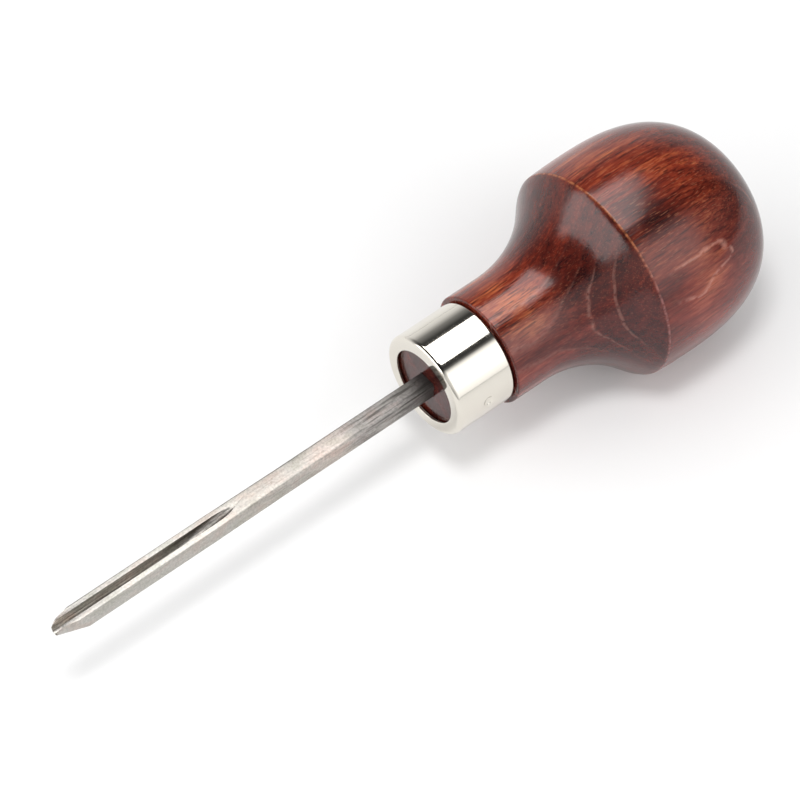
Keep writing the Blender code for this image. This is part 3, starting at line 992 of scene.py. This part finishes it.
def trough(half_width, floor, top):
    """A U-shaped section as (y, z): round floor, straight walls, open at the top."""
    curve = arc((0, floor + half_width), half_width, math.pi, math.tau, TROUGH_STEPS)
    return [(-half_width, top)] + curve + [(half_width, top)]


# The trough goes on widening well past the bar's own sides, so only its sloped part touches the bar.
widening = (BAR_SIDE - FLUTE_WIDTH / 2) / math.tan(BEVEL_SIDE_ANGLE)
bevel = []
for along in (0, widening, TANG_END - CUTTING_EDGE + OVERCUT):
    reach = min(along, widening)
    half_width = FLUTE_WIDTH / 2 + EDGE_WALL + reach * math.tan(BEVEL_SIDE_ANGLE)
    floor_z = FLUTE_FLOOR - EDGE_WALL - reach * math.tan(BEVEL_UNDER_ANGLE)
    section = trough(half_width, floor_z, BAR_TOP + OVERCUT)
    bevel.append([(CUTTING_EDGE + along, y, z) for y, z in section])
carve(blade, loft(bevel), "INTERSECT")
bevel_length = (BAR_TOP - FLUTE_WIDTH / 2 - EDGE_WALL) / math.tan(BEVEL_SIDE_ANGLE)
print(f"bevel reaches {bevel_length * MM:.1f} mm back along the sides")

# %% Sweep the corners back
WING_SWEEP = 0.0012
SWEEP_STEPS = 16
front = CUTTING_EDGE - EDGE_WALL
back = TANG_END + OVERCUT
over_top = BAR_TOP + OVERCUT
sweep_radius = (WING_SWEEP**2 + BAR_TOP**2) / (2 * WING_SWEEP)
sweep_end = math.pi - math.asin(BAR_TOP / sweep_radius)
sweep = arc((front + sweep_radius, 0), sweep_radius, math.pi, sweep_end, SWEEP_STEPS)
side_view = [(back, -BAR_SIDE), (front - OVERCUT, -BAR_SIDE), (front - OVERCUT, 0)] + sweep
side_view += [(sweep[-1][0] + OVERCUT, over_top), (back, over_top)]
carve(blade, loft([[(x, y, z) for x, z in side_view] for y in (-BAR_SIDE, BAR_SIDE)]), "INTERSECT")
print(f"corners swept back {WING_SWEEP * MM:.1f} mm on a radius of {sweep_radius * MM:.2f} mm")

# %% [markdown]
# ### Flute
# A thin wheel with a round rim cuts the flute. It runs level from the cutting edge, and where it stops the
# rim leaves the steel on its own large curve, which gives the flute its long pointed end. So the U of the
# flute is carried along straight first and then up round the wheel's centre, and taken away.

# %% Grind the flute
FLUTE_LENGTH = 0.0352
RUNOUT_RADIUS = 0.090
RUNOUT_STEPS = 24
climb = math.acos(1 - FLUTE_DEPTH / RUNOUT_RADIUS)
leave = math.acos(1 - (FLUTE_DEPTH + OVERCUT) / RUNOUT_RADIUS)
runout = CUTTING_EDGE + FLUTE_LENGTH - RUNOUT_RADIUS * math.sin(climb)
wheel = Vector((runout, 0, FLUTE_FLOOR + RUNOUT_RADIUS))
section = trough(FLUTE_WIDTH / 2, FLUTE_FLOOR, over_top)
path = [[Vector((CUTTING_EDGE - OVERCUT, y, z)) for y, z in section]]
for i in range(RUNOUT_STEPS + 1):
    turn_up = Matrix.Rotation(-leave * i / RUNOUT_STEPS, 3, "Y")
    path.append([wheel + turn_up @ (Vector((runout, y, z)) - wheel) for y, z in section])
carve(blade, loft(path), "DIFFERENCE")
print(f"flute {FLUTE_LENGTH * MM:.1f} mm long, {FLUTE_WIDTH * MM:.2f} mm wide")

# %% [markdown]
# ## Ground tool steel
# The bar is drawn tool steel, ground by hand. The lands beside the flute are bright, the middle is a
# patchy coarse grind with a warm tint, and towards the ferrule the dull scale from heat treatment is left,
# with dark streaks along the bar. The last few millimetres before the ferrule are painted much darker
# still, a painted shade where the ferrule's mouth shades the bar. Three pieces with three materials would
# show seams, so one material changes along the blade: each table below goes by the distance from the
# cutting edge.

# %% Tool steel
# From 67 mm to the ferrule the colour darkens steeply: painted shade where the ferrule's mouth shades the
# bar.
STEEL_COLORS_AND_FERRULE_SHADE = [(0, "#B6B3AE"), (34, "#B6B2AC"), (38, "#B8B2AB"), (48, "#B8B3AD"), (53, "#C5BBB4")]
STEEL_COLORS_AND_FERRULE_SHADE += [(57, "#BEB5AF"), (59, "#BAB5B1"), (67, "#B0ACA9"), (73.5, "#6C6866")]
STEEL_ROUGHNESS = [(0, 0.37), (33, 0.39), (38, 0.43), (57, 0.48), (60, 0.63), (73.5, 0.72)]
STREAK_STRENGTH = [(0, 0.10), (35, 0.12), (40, 0.22), (56, 0.24), (62, 0.65), (73.5, 0.75)]
STREAK_FROM = 0.48
STREAK_TO = 0.62
SCALE_COLOR = "#4A4644"
PATCH_TINT = [(0.35, "#F1F2EE"), (0.5, 1.0), (0.65, "#FFF7F4")]
# Each pattern: its length along the bar and its width across it in mm, then its detail and roughness.
# Streak is the drawn-out scale, patch the uneven tint, mark the wheel's marks and grit the mottling.
STEEL_PATTERNS = {
    "streak": (7.692, 0.3846, 4.0, 0.65),
    "patch": (4.0, 2.0, 3.0, 0.5),
    "mark": (6.25, 0.2, 3.0, 0.7),
    "grit": (0.4167, 0.4167, 2.0, 0.5),
}
EXPOSED = -CUTTING_EDGE * MM
steel, tree, shader, mm = piece_material("ground_tool_steel")
patterns = solid_patterns(tree, mm, STEEL_PATTERNS)
axes = add(tree, "SeparateXYZ", {"Vector": mm}).outputs
bar_share = add(tree, "MapRange", {"Value": axes["X"], "From Min": -EXPOSED, "From Max": 0.0}).outputs[0]
tables = {"color": STEEL_COLORS_AND_FERRULE_SHADE, "roughness": STEEL_ROUGHNESS, "streak": STREAK_STRENGTH}
by_distance = {}
for name, table in tables.items():
    stops = ramp_stops(table, 0, EXPOSED)
    by_distance[name] = add(tree, "ValToRGB", {"Fac": bar_share}, stops=stops).outputs[0]
streak_range = {"Value": patterns["streak"], "From Min": STREAK_FROM, "From Max": STREAK_TO}
streak = add(tree, "MapRange", streak_range).outputs[0]
streak = add(tree, "Math", {0: streak, 1: by_distance["streak"]}, operation="MULTIPLY").outputs[0]
tint = add(tree, "ValToRGB", {"Fac": patterns["patch"]}, stops=ramp_stops(PATCH_TINT, 0, 1)).outputs[0]
tint_mix = {0: 1.0, 6: by_distance["color"], 7: tint}
color = add(tree, "Mix", tint_mix, data_type="RGBA", blend_type="MULTIPLY").outputs[2]
streak_mix = {0: streak, 6: color, 7: linear(SCALE_COLOR)}
color = add(tree, "Mix", streak_mix, data_type="RGBA").outputs[2]
print("steel colours along the bar:", len(STEEL_COLORS_AND_FERRULE_SHADE))

# %% [markdown]
# ### Flute and far edge
# The inside of the flute is as the wheel left it, with marks along its length. Its colour is painted
# brighter towards the cutting edge, a painted light where light comes in at the open end, and it is
# darker at the run-out. The shader finds the flute by its place: between the walls, below the lands and
# above the floor. Along the bar's far edge a thin dark line is drawn in.

# %% Shade the flute
# A painted light in the flute: brighter towards the cutting edge, where light comes in at the open end.
FLUTE_PAINTED_LIGHT = [(0, 1.15), (2.5, 1.1), (5, 1.05), (9, 1.0), (20, 0.98)]
FLUTE_PAINTED_LIGHT += [(25, 0.8), (28, 0.65), (31, 0.6), (36, 0.9)]
WALL_MARGIN = 0.02
LAND_MARGIN = 0.03
FLOOR_MARGIN = 0.02
MARK_FROM = 0.4
MARK_TO = 0.6
MARK_DARK = 0.7
MARK_BRIGHT = 1.3
from_middle = add(tree, "Math", {0: axes["Y"]}, operation="ABSOLUTE").outputs[0]
wall_mm = FLUTE_WIDTH * MM / 2 + WALL_MARGIN
between_walls = add(tree, "Math", {0: from_middle, 1: wall_mm}, operation="LESS_THAN").outputs[0]
land_mm = BAR_TOP * MM - LAND_MARGIN
below_lands = add(tree, "Math", {0: axes["Z"], 1: land_mm}, operation="LESS_THAN").outputs[0]
floor_mm = FLUTE_FLOOR * MM - FLOOR_MARGIN
above_floor = add(tree, "Math", {0: axes["Z"], 1: floor_mm}, operation="GREATER_THAN").outputs[0]
in_flute = add(tree, "Math", {0: between_walls, 1: below_lands}, operation="MULTIPLY").outputs[0]
in_flute = add(tree, "Math", {0: in_flute, 1: above_floor}, operation="MULTIPLY").outputs[0]
shade_stops = ramp_stops(FLUTE_PAINTED_LIGHT, 0, EXPOSED)
shade = add(tree, "ValToRGB", {"Fac": bar_share}, stops=shade_stops).outputs[0]
mark_range = {
    "Value": patterns["mark"],
    "From Min": MARK_FROM,
    "From Max": MARK_TO,
    "To Min": MARK_DARK,
    "To Max": MARK_BRIGHT,
}
mark = add(tree, "MapRange", mark_range).outputs[0]
shade = add(tree, "VectorMath", {0: shade, "Scale": mark}, operation="SCALE").outputs[0]
shaded = add(tree, "VectorMath", {0: color, 1: shade}, operation="MULTIPLY").outputs[0]
color = add(tree, "Mix", {0: in_flute, 6: color, 7: shaded}, data_type="RGBA").outputs[2]
print("flute shade from", FLUTE_PAINTED_LIGHT[0], "to", FLUTE_PAINTED_LIGHT[-1])

# %% Dark line on the far edge
# A thin dark line is drawn along the far edge, strongest near the cutting edge and again by the ferrule.
FAR_EDGE_DARK_LINE = [(0, 0.0), (2, 0.8), (10, 0.7), (20, 0.25), (28, 0.05), (46, 0.1), (58, 0.5), (73.5, 0.6)]
FAR_LINE_STARTS = 0.28
FAR_LINE_FULL = 0.16
far_mm = BAR_TOP * MM
edge_range = {"Value": axes["Y"], "From Min": far_mm - FAR_LINE_STARTS, "From Max": far_mm - FAR_LINE_FULL}
far_edge = add(tree, "MapRange", edge_range).outputs[0]
far_line_stops = ramp_stops(FAR_EDGE_DARK_LINE, 0, EXPOSED)
far_dark_line = add(tree, "ValToRGB", {"Fac": bar_share}, stops=far_line_stops).outputs[0]
far_dark_line = add(tree, "Math", {0: far_dark_line, 1: far_edge}, operation="MULTIPLY").outputs[0]
far_line_mix = {0: far_dark_line, 6: color, 7: linear(SCALE_COLOR)}
color = add(tree, "Mix", far_line_mix, data_type="RGBA").outputs[2]
print(f"scale starts {FAR_LINE_STARTS} mm in from the far edge")

# %% [markdown]
# ### Grinding marks
# Grinding leaves fine scratches across the bar, and a mottled surface. The scratches are a noise drawn out
# across the bar, used as a bump so that they catch the light. The mottling is a noise in the colour. Real
# grit marks are finer than a pixel here, so both are drawn as coarse as they need to show.

# %% Grinding marks
# A Mapping node scales before it turns, so this turn only picks which part of the noise is used.
SCRATCH_TURN = math.radians(24)
SCRATCH_SPACING = 0.3333
SCRATCH_LENGTH = 2.5
SCRATCH_DETAIL = 3.0
SCRATCH_ROUGHNESS = 0.7
SCRATCH_STRENGTH = 0.35
SCRATCH_HEIGHT = 0.00006
GRIT_FROM = 0.3
GRIT_TO = 0.7
GRIT_DARK = 0.82
GRIT_BRIGHT = 1.16
scratch_scale = (1 / SCRATCH_SPACING, 1 / SCRATCH_LENGTH, 1 / SCRATCH_LENGTH)
drawn_out = {"Vector": mm, "Rotation": (0, 0, SCRATCH_TURN), "Scale": scratch_scale}
spot = add(tree, "Mapping", drawn_out).outputs[0]
noise = {"Vector": spot, "Scale": 1.0, "Detail": SCRATCH_DETAIL, "Roughness": SCRATCH_ROUGHNESS}
scratch = add(tree, "TexNoise", noise).outputs["Fac"]
relief = {"Height": scratch, "Strength": SCRATCH_STRENGTH, "Distance": SCRATCH_HEIGHT}
scratch_bump = add(tree, "Bump", relief).outputs[0]
grit_range = {
    "Value": patterns["grit"],
    "From Min": GRIT_FROM,
    "From Max": GRIT_TO,
    "To Min": GRIT_DARK,
    "To Max": GRIT_BRIGHT,
}
grit = add(tree, "MapRange", grit_range).outputs[0]
color = add(tree, "VectorMath", {0: color, "Scale": grit}, operation="SCALE").outputs[0]
tree.links.new(color, shader.inputs["Base Color"])
tree.links.new(by_distance["roughness"], shader.inputs["Roughness"])
tree.links.new(scratch_bump, shader.inputs["Normal"])
shader.inputs["Metallic"].default_value = 1.0
finish_piece(blade, "blade", steel)

# %% [markdown]
# ## Closing
# The box round the new pieces is measured and set beside the box of the imported model, so that anyone can
# see that nothing has grown or moved.

# %% Measure the boxes
size = {"cad": [list(corner) for corner in cad_box], "visual": [list(corner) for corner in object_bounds()]}
for name, (low, high) in size.items():
    print(name, "box in mm:", [round((b - a) * MM, 2) for a, b in zip(low, high)])
